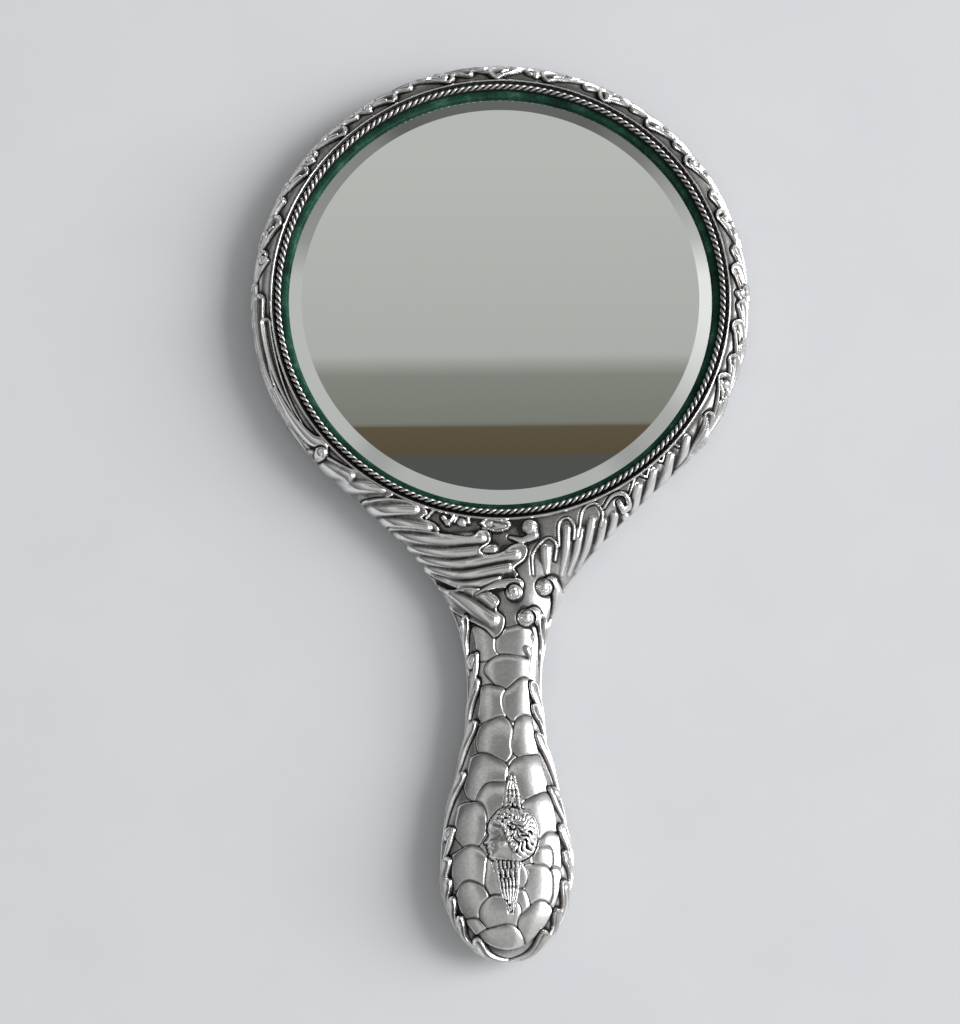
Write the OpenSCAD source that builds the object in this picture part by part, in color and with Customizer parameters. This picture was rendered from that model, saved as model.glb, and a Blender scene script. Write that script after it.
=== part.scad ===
// Silver-mounted hand mirror lying on its back, glass up.
// +Z is the glass's normal, +Y runs to the top of the head and the handle points to -Y.
// The origin is on the head's axis, at the flat centre of the back.

/* [Head] */
// Diameter of the head across the seam of the two stampings
head_d = 145; // [138:1:152]
// Width of the sloping border, from the seam in to the rim
border_w = 5.4; // [4.2:0.1:5.6]
// Height of the seam above the surface that the mirror lies on
seam_z = 7; // [6.5:0.5:8]
// Height of the rim above the seam
rim_rise = 7; // [6.5:0.5:8]
// Diameter of the flat centre of the back
rest_d = 52; // [44:1:60]
// Angle from the handle's line at which the border leaves the head's circle
neck_angle = 42; // [38:1:46]

/* [Handle] */
// Distance from the head's centre to the waist
waist_reach = 117; // [114:1:122]
// Width at the waist
waist_w = 21.2; // [19:0.2:24]
// Distance from the head's centre to the widest part of the bulb
bulb_reach = 166; // [162:1:172]
// Width at the bulb
bulb_w = 37; // [33:0.5:41]
// Distance from the head's centre to the end of the handle
handle_reach = 192; // [188:1:200]
// Height of the front crown above the seam at the waist
waist_rise = 6; // [5.5:0.5:7]
// Height of the front crown above the seam at the bulb
bulb_rise = 9; // [8:0.5:10]
// Height of the back crown above the resting surface at the waist
waist_lift = 1.4; // [1:0.2:2]

/* [Glass] */
// Thickness of the mirror glass
glass_t = 3; // [2.4:0.1:3]
// Width of the bevel round the glass
bevel_w = 4.3; // [3:0.1:6]
// Depth of the bevel at the glass's edge
bevel_drop = 1; // [0.6:0.1:1.4]
// Depth of the glass's face below the rim
glass_sink = 1.8; // [1.6:0.1:2]

/* [Bezel] */
// Thickness of the rope wire
rope_d = 1.5; // [1.2:0.1:1.8]
// Width of the velvet round the glass
velvet_w = 1.7; // [1.5:0.1:3]
// Width of the bezel collar, its rim band included
collar_w = 3; // [2.8:0.1:3.4]
// Thickness of the rim band
rim_band_t = 0.5; // [0.4:0.1:0.6]

/* [Inside] */
// Thickness of the stamped silver sheet
sheet_t = 0.6; // [0.5:0.1:0.7]
// Width of the steel tang
tang_w = 8; // [6:0.5:9]
// Thickness of the steel tang
tang_t = 2; // [1.6:0.1:2.4]
// Distance from the head's centre to the near end of the tang
tang_start = 38; // [34:1:42]
// Distance from the head's centre to the far end of the tang
tang_end = 168; // [160:1:172]
// Diameter of the tang screws' shanks
screw_d = 2.6; // [2:0.2:3]

/* [Hidden] */
$fn = 96;

// Radii of the head, from the seam inwards
head_r = head_d / 2;
rim_r = head_r - border_w;
collar_in_r = rim_r - collar_w;
glass_r = collar_in_r - velvet_w;
rest_r = rest_d / 2;
core_r = rim_r + 0.2;

// Heights of the bezel and of the stack under the glass
rim_z = seam_z + rim_rise;
glass_top = rim_z - glass_sink;
glass_bottom = glass_top - glass_t;
silver_t = 0.1;
paint_t = 0.1;
card_t = 1;
card_z = glass_bottom - silver_t - paint_t - card_t;
rope_seat_z = rim_z + 0.5 - rope_d;
velvet_z = glass_top + 0.6;
collar_z = rim_z - 4.4;

// Clearances: core_gap is the bed of pitch under the core, tang_play is all round the tang
solder_gap = 0.05;
core_gap = 1.2;
fill_gap = 0.3;
tang_play = 0.1;

// Half widths of the handle, and the curves that draw its outline
waist_r = waist_w / 2;
bulb_r = bulb_w / 2;
end_len = handle_reach - bulb_reach;
leave = on_circle(head_r, neck_angle);
leave_dir = [-cos(neck_angle), -sin(neck_angle)];
corner_pull = 0.85 * (leave[0] - waist_r) / cos(neck_angle);
waist_pull = 0.8 * (waist_reach - 88);
bulb_pull = 0.4 * (bulb_reach - waist_reach);

// Crown line: how far it runs past the bulb, and how far it leads the outline
crown_past = 0.3 * end_len;
crown_lead = 5;

// Grid of the stampings: stations on half the outline, rows from the seam to the crown
head_n = 40;
neck_n = 18;
bulb_n = 12;
end_n = 8;
half_n = head_n + neck_n + bulb_n + end_n;
loop_n = 2 * half_n;
row_n = 7;
front_power = 2.3;
back_power = 2;

function mix(a, b, t) = a + (b - a) * t;
function smooth(t) = t * t * (3 - 2 * t);
function on_circle(r, ang) = r * [sin(ang), -cos(ang)];
function bezier(a, b, c, d, t) =
    pow(1 - t, 3) * a + 3 * pow(1 - t, 2) * t * b + 3 * (1 - t) * t * t * c + t * t * t * d;

// Station i as a travel of 0 to 4: head arc, neck, bulb, rounded end
function travel(i) =
    i <= head_n ? i / head_n
    : i <= head_n + neck_n ? 1 + (i - head_n) / neck_n
    : i <= half_n - end_n ? 2 + (i - head_n - neck_n) / bulb_n
    : 3 + (i - half_n + end_n) / end_n;

// Outline of the seam on the +X side, from the top of the head to the end of the handle
function outline(s) =
    s <= 1 ? on_circle(head_r, mix(180, neck_angle, s))
    : s <= 2 ? bezier(leave, leave + corner_pull * leave_dir,
                      [waist_r, waist_pull - waist_reach], [waist_r, -waist_reach], s - 1)
    : s <= 3 ? bezier([waist_r, -waist_reach], [waist_r, -waist_reach - bulb_pull],
                      [bulb_r, bulb_pull - bulb_reach], [bulb_r, -bulb_reach], s - 2)
    : [bulb_r * cos(90 * (s - 3)), -bulb_reach - end_len * sin(90 * (s - 3))];

// Where the surface that starts at outline(s) ends: a circle round the head, then the crown line
function crown(s, r) =
    s <= 1 ? on_circle(r, mix(180, neck_angle, s))
    : s <= 1.5 ? on_circle(r, mix(neck_angle, 0, 2 * (s - 1)))
    : s <= 2 ? [0, mix(-r, crown_lead - waist_reach, 2 * (s - 1.5))]
    : s <= 3 ? [0, mix(crown_lead - waist_reach, crown_lead - bulb_reach, s - 2)]
    : [0, mix(crown_lead - bulb_reach, -bulb_reach - crown_past, s - 3)];

// Height along that line, for given heights at the head, the waist, the bulb and the end
function crown_z(s, head, waist, bulb, end) =
    s <= 1.5 ? head
    : s <= 2 ? mix(head, waist, smooth(2 * (s - 1.5)))
    : s <= 3 ? mix(waist, bulb, smooth(s - 2))
    : mix(bulb, end, smooth(s - 3));

// Rise of the rounded end at the last point of the crown line
end_share = sqrt(1 - pow(crown_past / end_len, 2));

function front_z(s) =
    crown_z(s, rim_z, seam_z + waist_rise, seam_z + bulb_rise, seam_z + bulb_rise * end_share);
function back_z(s) = crown_z(s, 0, waist_lift, 0, seam_z * (1 - end_share));

// Point of a stamping at travel s and row share v: a quarter superellipse from seam to crown
function skin(s, v, r, top, power) =
    let (a = outline(s), b = crown(s, r),
         in = 1 - pow(cos(90 * v), 2 / power), up = pow(sin(90 * v), 2 / power),
         p = mix(a, b, in))
    [p[0], p[1], mix(seam_z, top, up)];
function front_skin(s, v) = skin(s, v, rim_r + solder_gap, front_z(s), front_power);
function back_skin(s, v) = skin(s, v, rest_r, back_z(s), back_power);

function unit(p) = p / norm(p);

// Point moved inwards by t along the surface's normal; side is 1 for the front, -1 for the back
function moved_in(s, v, t, side) =
    let (e = 0.02,
         s0 = max(s - e, 0), s1 = min(s + e, 4), v0 = max(v - e, 0), v1 = min(v + e, 1),
         p = side > 0 ? front_skin(s, v) : back_skin(s, v),
         along = side > 0 ? front_skin(s1, v) - front_skin(s0, v)
                          : back_skin(s1, v) - back_skin(s0, v),
         up = side > 0 ? front_skin(s, v1) - front_skin(s, v0)
                       : back_skin(s, v1) - back_skin(s, v0),
         flat = v == 1 || norm(cross(along, up)) < 0.0000001,
         n = flat ? [0, 0, side] : unit(cross(up, along)) * side,
         seam = v == 0 ? unit([n[0], n[1], 0]) : n,
         q = p - t * seam)
    [s == 0 || s == 4 || (v == 1 && s >= 1.5) ? 0 : q[0], q[1], q[2]];

// Loop station k runs down the +X side and back up the -X side
function side_point(p, k) = k <= half_n ? p : [-p[0], p[1], p[2]];
function station(k) = travel(k <= half_n ? k : loop_n - k);

// Rows of points of one skin at depth t, over the whole loop
function sheet_points(t, side) = [
    for (j = [0:row_n]) for (k = [0:loop_n - 1])
        side_point(moved_in(station(k), j / row_n, t, side), k)
];

// Index of loop station k in row j: on the crown line both sides share the +X side's points
join_k = head_n + neck_n / 2;
function at(j, k, base) =
    let (w = k % loop_n)
    base + j * loop_n + (j == row_n && w > half_n && w < loop_n - join_k + 1 ? loop_n - w : w);

// Two triangles of a cell, cut along its other diagonal on the -X side so that both sides match
function halves(a, b, c, d, mirrored) =
    mirrored ? [[a, b, d], [b, c, d]] : [[a, b, c], [a, c, d]];
function turned(f) = [f[2], f[1], f[0]];

function quads(base, outward) = [
    for (j = [0:row_n - 1]) for (k = [0:loop_n - 1])
        for (f = halves(at(j, k, base), at(j, k + 1, base),
                        at(j + 1, k + 1, base), at(j + 1, k, base), k >= half_n))
            outward ? f : turned(f)
];

// Strip that closes the sheet between the outer and the inner skin along row j
function edge_strip(j, k_list, inner, flip) = [
    for (k = k_list)
        let (a = at(j, k, 0), b = at(j, k + 1, 0), c = at(j, k + 1, inner), d = at(j, k, inner))
        for (f = flip ? [[a, c, b], [a, d, c]] : [[a, b, c], [a, c, d]]) f
];

point_n = (row_n + 1) * loop_n;
loop_list = [for (k = [0:loop_n - 1]) k];
ring_list = [for (k = [0:loop_n - 1]) if (k < join_k || k >= loop_n - join_k) k];

// Front stamping: border, neck and handle front, open where the glass is
module front_shell() {
    color("silver")
        polyhedron(
            points = concat(sheet_points(0, 1), sheet_points(sheet_t, 1)),
            faces = concat(quads(0, true), quads(point_n, false),
                           edge_strip(0, loop_list, point_n, true),
                           edge_strip(row_n, ring_list, point_n, false)),
            convexity = 6);
}

// Back stamping: closed by its flat centre, which the mirror rests on
module back_shell() {
    outer_ring = [for (k = ring_list) at(row_n, k, 0)];
    inner_ring = [for (k = ring_list) at(row_n, k, point_n)];
    color("silver")
        polyhedron(
            points = concat(sheet_points(0, -1), sheet_points(sheet_t, -1)),
            faces = concat(quads(0, false), quads(point_n, true),
                           edge_strip(0, loop_list, point_n, false),
                           [inner_ring], [[for (i = [len(outer_ring) - 1:-1:0]) outer_ring[i]]]),
            convexity = 6);
}

// Soldered ring inside the front stamping, with the bright rim band on its outer edge
module bezel_collar() {
    color("gainsboro")
        rotate_extrude()
            polygon([
                [collar_in_r, collar_z], [rim_r, collar_z], [rim_r, rim_z],
                [rim_r - rim_band_t, rim_z], [rim_r - rim_band_t, rope_seat_z],
                [collar_in_r, rope_seat_z]
            ]);
}

// Twisted rope wire, as the ring that its two strands fill
module rope_bezel() {
    rope_r = collar_in_r + 0.1 + rope_d / 2;
    color("lightgray")
        rotate_extrude()
            translate([rope_r, rope_seat_z + rope_d / 2])
                circle(d = rope_d, $fn = 48);
}

// Velvet packing between the collar and the glass
module velvet_liner() {
    color("darkslategray")
        rotate_extrude()
            polygon([
                [glass_r, seam_z], [collar_in_r, seam_z], [collar_in_r, velvet_z - 0.3],
                [collar_in_r - 0.6, velvet_z], [glass_r + 0.6, velvet_z], [glass_r, velvet_z - 0.3]
            ]);
}

// Plate glass with a wide bevel ground round its face
module mirror_glass() {
    color("lightsteelblue")
        union() {
            translate([0, 0, glass_bottom])
                cylinder(r = glass_r, h = glass_t - bevel_drop);
            translate([0, 0, glass_top - bevel_drop])
                cylinder(r1 = glass_r, r2 = glass_r - bevel_w, h = bevel_drop);
        }
}

// One flat layer of the stack under the glass
module layer(z, t) {
    translate([0, 0, z])
        cylinder(r = glass_r, h = t);
}

module silvering() {
    color("whitesmoke") layer(glass_bottom - silver_t, silver_t);
}

module backing_paint() {
    color("firebrick") layer(glass_bottom - silver_t - paint_t, paint_t);
}

module backing_card() {
    color("tan") layer(card_z, card_t);
}

module felt_pad() {
    color("darkseagreen") layer(seam_z, card_z - seam_z);
}

// Steel bar of the tang, or with play above 0 the channel that it lies in
module tang_bar(play) {
    over = play > 0 ? 1 : 0;
    translate([-tang_w / 2 - play, -tang_end - play, seam_z - tang_t])
        cube([tang_w + 2 * play, tang_end - tang_start + 2 * play, tang_t + over]);
}

screw_at = [for (d = [8, 22]) [0, -tang_start - d, 0]];
screw_deep = tang_t + 2.6;

// Countersunk screw, or with play above 0 the hole that it fits
module screw(play) {
    head_t = 1.2;
    translate([0, 0, seam_z - screw_deep])
        cylinder(d = screw_d + play, h = screw_deep);
    translate([0, 0, seam_z - head_t])
        cylinder(d1 = screw_d + play, d2 = 2 * screw_d + play, h = head_t);
    if (play > 0)
        translate([0, 0, seam_z])
            cylinder(d = 2 * screw_d + play, h = 1);
}

// Turned wooden core: a dished tray that carries the collar and the glass
module head_core() {
    under = [
        for (r = [rest_r:4:core_r])
            [r, seam_z * (1 - sqrt(1 - pow((r - rest_r) / (head_r - rest_r), 2))) + core_gap]
    ];
    rim_under = seam_z * (1 - sqrt(1 - pow((core_r - rest_r) / (head_r - rest_r), 2))) + core_gap;
    color("burlywood")
        difference() {
            rotate_extrude()
                polygon(concat(
                    [[0, core_gap]], under,
                    [[core_r, rim_under], [core_r, collar_z], [collar_in_r, collar_z],
                     [collar_in_r, seam_z], [0, seam_z]]));
            tang_bar(tang_play);
            for (p = screw_at)
                translate([p[0], p[1], seam_z - screw_deep])
                    cylinder(d = screw_d, h = screw_deep);
        }
}

// Half of the handle's pitch filling, from loop station `from` round the end and back.
// It fills one stamping up to the tang, whose face on that side is at cut_z.
function cut_share(s, side, cut_z) = side > 0 ? 0 : asin((seam_z - cut_z) / (seam_z - back_z(s))) / 90;

function fill_point(k, j, side, cut_z) =
    let (s = station(k), v = mix(cut_share(s, side, cut_z), 1, j / row_n),
         p = side_point(moved_in(s, v, sheet_t + fill_gap, side), k))
    j == 0 ? [p[0], p[1], cut_z] : p;

function fill_points(from, side, cut_z) = concat(
    [for (j = [0:row_n]) for (k = [from:loop_n - from]) fill_point(k, j, side, cut_z)],
    [for (k = [from:loop_n - from])
        [0, crown(station(k), side > 0 ? rim_r + solder_gap : rest_r)[1], cut_z]]);

function fill_at(j, k, n) = j * (n + 1) + (j >= row_n && k > n / 2 ? n - k : k);

function fill_faces(n, outward) =
    let (sides = [
            for (j = [0:row_n - 1]) for (k = [0:n - 1])
                for (f = halves(fill_at(j, k, n), fill_at(j, k + 1, n),
                                fill_at(j + 1, k + 1, n), fill_at(j + 1, k, n), k >= n / 2)) f
         ],
         floor = [
            for (k = [0:n - 1])
                for (f = halves(fill_at(0, k, n), fill_at(0, k + 1, n),
                                fill_at(row_n + 1, k + 1, n), fill_at(row_n + 1, k, n), k >= n / 2))
                    turned(f)
         ],
         foot = fill_at(row_n + 1, 0, n),
         near = [for (j = [0:row_n - 1]) [foot, fill_at(j, 0, n), fill_at(j + 1, 0, n)]],
         far = [for (j = [0:row_n - 1]) [foot, fill_at(j + 1, n, n), fill_at(j, n, n)]])
    [for (f = concat(sides, floor, near, far)) outward ? f : turned(f)];

module handle_fill(from, side, cut_z) {
    polyhedron(points = fill_points(from, side, cut_z),
               faces = fill_faces(loop_n - 2 * from, side > 0), convexity = 4);
}

module handle_fill_front() {
    color("dimgray") handle_fill(join_k + 1, 1, seam_z);
}

module handle_fill_back() {
    color("gray") handle_fill(join_k + 6, -1, seam_z - tang_t);
}

// Steel strip that joins the handle to the head, screwed to the wooden core
module tang() {
    color("slategray")
        difference() {
            tang_bar(0);
            for (p = screw_at) translate(p) screw(tang_play);
        }
}

module tang_screws() {
    color("goldenrod")
        for (p = screw_at) translate(p) screw(0);
}

front_shell();
back_shell();
bezel_collar();
rope_bezel();
velvet_liner();
mirror_glass();
silvering();
backing_paint();
backing_card();
felt_pad();
head_core();
handle_fill_front();
handle_fill_back();
tang();
tang_screws();
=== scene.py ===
import math

import bpy
import numpy as np
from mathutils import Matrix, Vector


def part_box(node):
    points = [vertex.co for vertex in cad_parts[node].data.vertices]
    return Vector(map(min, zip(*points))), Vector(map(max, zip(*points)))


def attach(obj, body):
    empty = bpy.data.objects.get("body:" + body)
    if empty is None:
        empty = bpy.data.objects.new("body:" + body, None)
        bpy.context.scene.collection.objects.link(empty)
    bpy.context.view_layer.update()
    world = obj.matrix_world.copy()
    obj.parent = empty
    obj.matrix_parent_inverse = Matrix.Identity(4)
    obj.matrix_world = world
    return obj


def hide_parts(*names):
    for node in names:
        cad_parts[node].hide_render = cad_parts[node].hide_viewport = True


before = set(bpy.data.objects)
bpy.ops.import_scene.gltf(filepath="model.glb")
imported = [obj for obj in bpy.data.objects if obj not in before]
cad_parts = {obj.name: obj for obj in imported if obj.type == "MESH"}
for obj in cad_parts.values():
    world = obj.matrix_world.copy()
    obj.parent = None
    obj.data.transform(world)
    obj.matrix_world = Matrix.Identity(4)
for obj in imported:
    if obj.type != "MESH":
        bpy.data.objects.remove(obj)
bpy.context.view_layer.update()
mm = 0.001


def boxOf(node):  # lowest and highest corners of a CAD node, in millimetres
    low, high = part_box(node)
    return np.array(low) / mm, np.array(high) / mm


frontLow, frontHigh = boxOf("front_shell")
collarLow, collarHigh = boxOf("bezel_collar")
glassLow, glassHigh = boxOf("mirror_glass")
velvetLow, velvetHigh = boxOf("velvet_liner")
ropeLow, ropeHigh = boxOf("rope_bezel")

# The form of the two stampings in millimetres. What the boxes can't give repeats the CAD's values.
form = {
    "headR": frontHigh[0], "rimR": collarHigh[0], "restR": 26.0, "neckAngle": 42.0,
    "seamZ": frontLow[2], "rimZ": collarHigh[2],
    "waistReach": 117.0, "waistR": 10.6, "bulbReach": 166.0, "bulbR": 18.5,
    "handleReach": -frontLow[1], "waistRise": 6.0, "bulbRise": frontHigh[2] - frontLow[2],
    "waistLift": 1.4, "cornerY": 88.0, "crownLead": 5.0, "crownPast": 0.3,
    "frontPower": 2.3, "backPower": 2.0,
}


def smooth(t):  # 3t^2 - 2t^3 on 0 to 1
    t = np.clip(t, 0, 1)
    return t * t * (3 - 2 * t)


def onCircle(r, degrees):  # measured from -Y, counter-clockwise seen from above
    a = np.radians(degrees)
    return np.stack([r * np.sin(a), -r * np.cos(a)], -1)


def onRound(a):  # (cos a, sin a)
    return np.stack([np.cos(a), np.sin(a)], -1)


def bezier(points, t):  # (1-t)^3 a + 3(1-t)^2 t b + 3(1-t) t^2 c + t^3 d
    a, b, c, d = (np.asarray(p, float) for p in points)
    t = np.asarray(t, float)[..., None]
    return (1 - t)**3 * a + 3 * (1 - t)**2 * t * b + 3 * (1 - t) * t**2 * c + t**3 * d


def pick(s, parts):  # the part that travel s is on: head, neck, bulb or rounded end
    return np.select([(s <= 1)[..., None], (s <= 2)[..., None], (s <= 3)[..., None]], parts[:3], parts[3])


def outline(s):  # the seam on the +X side: an arc, two Beziers and a quarter ellipse
    f = form
    leave = onCircle(f["headR"], f["neckAngle"])
    lean = math.radians(f["neckAngle"])
    pull = 0.85 * (leave[0] - f["waistR"]) / math.cos(lean)
    corner = leave - pull * np.array([math.cos(lean), math.sin(lean)])
    waist = np.array([f["waistR"], -f["waistReach"]])
    bulb = np.array([f["bulbR"], -f["bulbReach"]])
    rise = np.array([0, 0.8 * (f["waistReach"] - f["cornerY"])])
    swell = np.array([0, 0.4 * (f["bulbReach"] - f["waistReach"])])
    t = [np.clip(s - i, 0, 1) for i in range(4)]
    end = t[3] * math.pi / 2
    endLen = f["handleReach"] - f["bulbReach"]
    ellipse = np.stack([f["bulbR"] * np.cos(end), -f["bulbReach"] - endLen * np.sin(end)], -1)
    return pick(s, [onCircle(f["headR"], 180 + (f["neckAngle"] - 180) * t[0]),
                    bezier([leave, corner, waist + rise, waist], t[1]),
                    bezier([waist, waist - swell, bulb + swell, bulb], t[2]), ellipse])


def crown(s, r):  # where the surface from outline(s) ends: a circle, then the handle's middle line
    f = form
    past = f["crownPast"] * (f["handleReach"] - f["bulbReach"])
    stops = [-r, f["crownLead"] - f["waistReach"], f["crownLead"] - f["bulbReach"], -f["bulbReach"] - past]
    line = np.interp(s, [1.5, 2, 3, 4], stops)
    line = np.stack([np.zeros_like(line), line], -1)
    angle = np.where(s <= 1, 180 + (f["neckAngle"] - 180) * s, f["neckAngle"] * (1 - 2 * (s - 1)))
    return np.where((s <= 1.5)[..., None], onCircle(r, angle), line)


def crownHeight(s, levels):  # smooth steps from the head to the waist, the bulb and the end
    head, waist, bulb, end = levels
    z = head + (waist - head) * smooth(2 * (s - 1.5))
    z = z + (bulb - waist) * smooth(s - 2)
    return z + (end - bulb) * smooth(s - 3)


def skinPoint(sign, s, v, side):
    # Quarter superellipse: in = 1 - cos(90v)^(2/p), up = sin(90v)^(2/p), from the seam to the crown.
    # Past the handle's end it goes on up the other side, and past the seam it is mirrored.
    f = form
    sign = np.where(s > 4, -sign, sign)
    s = np.where(s > 4, 8 - s, s)
    share = math.sqrt(1 - f["crownPast"]**2)
    seam = f["seamZ"]
    if side > 0:
        power, r = f["frontPower"], f["rimR"]
        levels = (f["rimZ"], seam + f["waistRise"], seam + f["bulbRise"], seam + f["bulbRise"] * share)
    else:
        power, r = f["backPower"], f["restR"]
        levels = (0, f["waistLift"], 0, seam * (1 - share))
    below = v < 0
    turn = np.abs(np.clip(v, -1, 1)) * math.pi / 2
    inward = 1 - np.abs(np.cos(turn))**(2 / power)
    up = np.sin(turn)**(2 / power)
    a, b = outline(s), crown(s, r)
    xy = a + (b - a) * inward[..., None]
    lift = (crownHeight(s, levels) - seam) * up
    return np.stack([xy[..., 0] * sign, xy[..., 1], seam + np.where(below, -lift, lift)], -1)


def lineLength(path):  # length so far at each point of a path
    return np.concatenate([[0], np.cumsum(np.linalg.norm(np.diff(path, axis=0), axis=1))])


def evenly(values, path, count):  # the values at which a path is split into equal lengths
    length = lineLength(path)
    return np.interp(np.linspace(0, length[-1], count), length, values)


def evenStations(first, last, count):  # travel values that split the outline evenly
    s = np.linspace(first, last, 2000)
    return evenly(s, outline(s), count)


def evenRows(s, side, count):  # row shares that split the section at travel s evenly
    v = np.linspace(0, 1, 2000)
    return evenly(v, skinPoint(np.ones_like(v), np.full_like(v, s), v, side), count)


def withGhosts(values):  # one more value past each end, so that normals run on across joints
    return np.concatenate([[2 * values[0] - values[1]], values, [2 * values[-1] - values[-2]]])


def unit(v):  # v / |v|
    return v / np.maximum(np.linalg.norm(v, axis=-1, keepdims=True), 1e-12)


def gridNormals(p):  # cross product of the two central differences
    return unit(np.cross(np.gradient(p, axis=1), np.gradient(p, axis=0)))


def blurred(h, cells):  # three box averages, close to a Gaussian
    for axis in (0, 1):
        for _ in range(3):
            padded = np.pad(h, [(cells, cells) if a == axis else (0, 0) for a in (0, 1)], mode="edge")
            total = np.cumsum(padded, axis=axis)
            total = np.concatenate([np.zeros_like(np.take(total, [0], axis)), total], axis)
            n = h.shape[axis]
            upper = np.take(total, np.arange(2 * cells + 1, 2 * cells + 1 + n), axis)
            h = (upper - np.take(total, np.arange(n), axis)) / (2 * cells + 1)
    return h


def buildMesh(name, points, faces, normals=None, attributes=None, material=None):
    # points in millimetres, faces as rows of three or four corners, smooth shaded
    mesh = bpy.data.meshes.new(name)
    count, corners = faces.shape
    mesh.vertices.add(len(points))
    mesh.vertices.foreach_set("co", (np.asarray(points) * mm).ravel())
    mesh.loops.add(count * corners)
    mesh.loops.foreach_set("vertex_index", faces.ravel().astype(np.int32))
    mesh.polygons.add(count)
    mesh.polygons.foreach_set("loop_start", np.arange(0, count * corners, corners, dtype=np.int32))
    mesh.polygons.foreach_set("use_smooth", np.ones(count, dtype=bool))
    for label, values in (attributes or {}).items():
        layer = mesh.attributes.new(label, "FLOAT", "POINT")
        layer.data.foreach_set("value", np.asarray(values, dtype=np.float32).ravel())
    mesh.update(calc_edges=True)
    mesh.validate()
    if normals is not None:
        mesh.normals_split_custom_set_from_vertices(normals.reshape(-1, 3).tolist())
    obj = bpy.data.objects.new(name, mesh)
    bpy.context.scene.collection.objects.link(obj)
    if material is not None:
        mesh.materials.append(material)
    return obj


def gridFaces(rows, columns, wrapRows=False, wrapColumns=False, flip=False):
    # four corners (i, j), (i, j + 1), (i + 1, j + 1), (i + 1, j) for each cell of a grid
    i = np.arange(rows if wrapRows else rows - 1)
    j = np.arange(columns if wrapColumns else columns - 1)
    i, j = np.meshgrid(i, j, indexing="ij")
    i1, j1 = (i + 1) % rows, (j + 1) % columns
    corners = [i * columns + j, i * columns + j1, i1 * columns + j1, i1 * columns + j]
    faces = np.stack(corners, -1).reshape(-1, 4)
    return faces[:, ::-1] if flip else faces


def seat(piece, nodes):  # on the mirror's one body, in place of the CAD nodes
    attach(piece, "root")
    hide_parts(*nodes)


def curveThrough(points, count=18):  # Catmull-Rom curve through the points
    p = np.asarray(points, float)
    p = np.concatenate([[2 * p[0] - p[1]], p, [2 * p[-1] - p[-2]]])
    spans = len(p) - 3
    t = np.linspace(0, spans, count)
    k = np.minimum(t.astype(int), spans - 1)
    t = (t - k)[:, None]
    a, b, c, d = p[k], p[k + 1], p[k + 2], p[k + 3]
    return 0.5 * (2 * b + (c - a) * t + (2 * a - 5 * b + 4 * c - d) * t**2 + (3 * b - a - 3 * c + d) * t**3)


def nearest(points, path):
    # distance to the path and the share of its length at the nearest point
    a, b = path[:-1], path[1:]
    step = b - a
    square = np.maximum((step**2).sum(1), 1e-9)
    rel = points[:, None, :] - a[None]
    t = np.clip((rel * step[None]).sum(2) / square, 0, 1)
    gap = rel - t[..., None] * step[None]
    d2 = (gap**2).sum(2)
    k = d2.argmin(1)
    row = np.arange(len(points))
    length = lineLength(path)
    share = (length[k] + t[row, k] * np.sqrt(square[k])) / length[-1]
    return np.sqrt(d2[row, k]), share


def inside(points, loop):  # signed distance to a closed outline, positive inside
    loop = curveThrough(list(loop) + [loop[0]], 5 * len(loop))
    d, _ = nearest(points, loop)
    x, y = points.T[..., None]
    (x1, y1), (x2, y2) = loop[:-1].T, loop[1:].T
    level = np.where(y2 == y1, 1e-9, y2 - y1)
    crossings = ((y1 > y) != (y2 > y)) & (x < (x2 - x1) * (y - y1) / level + x1)
    return np.where(crossings.sum(1) % 2 == 1, d, -d)


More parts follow.
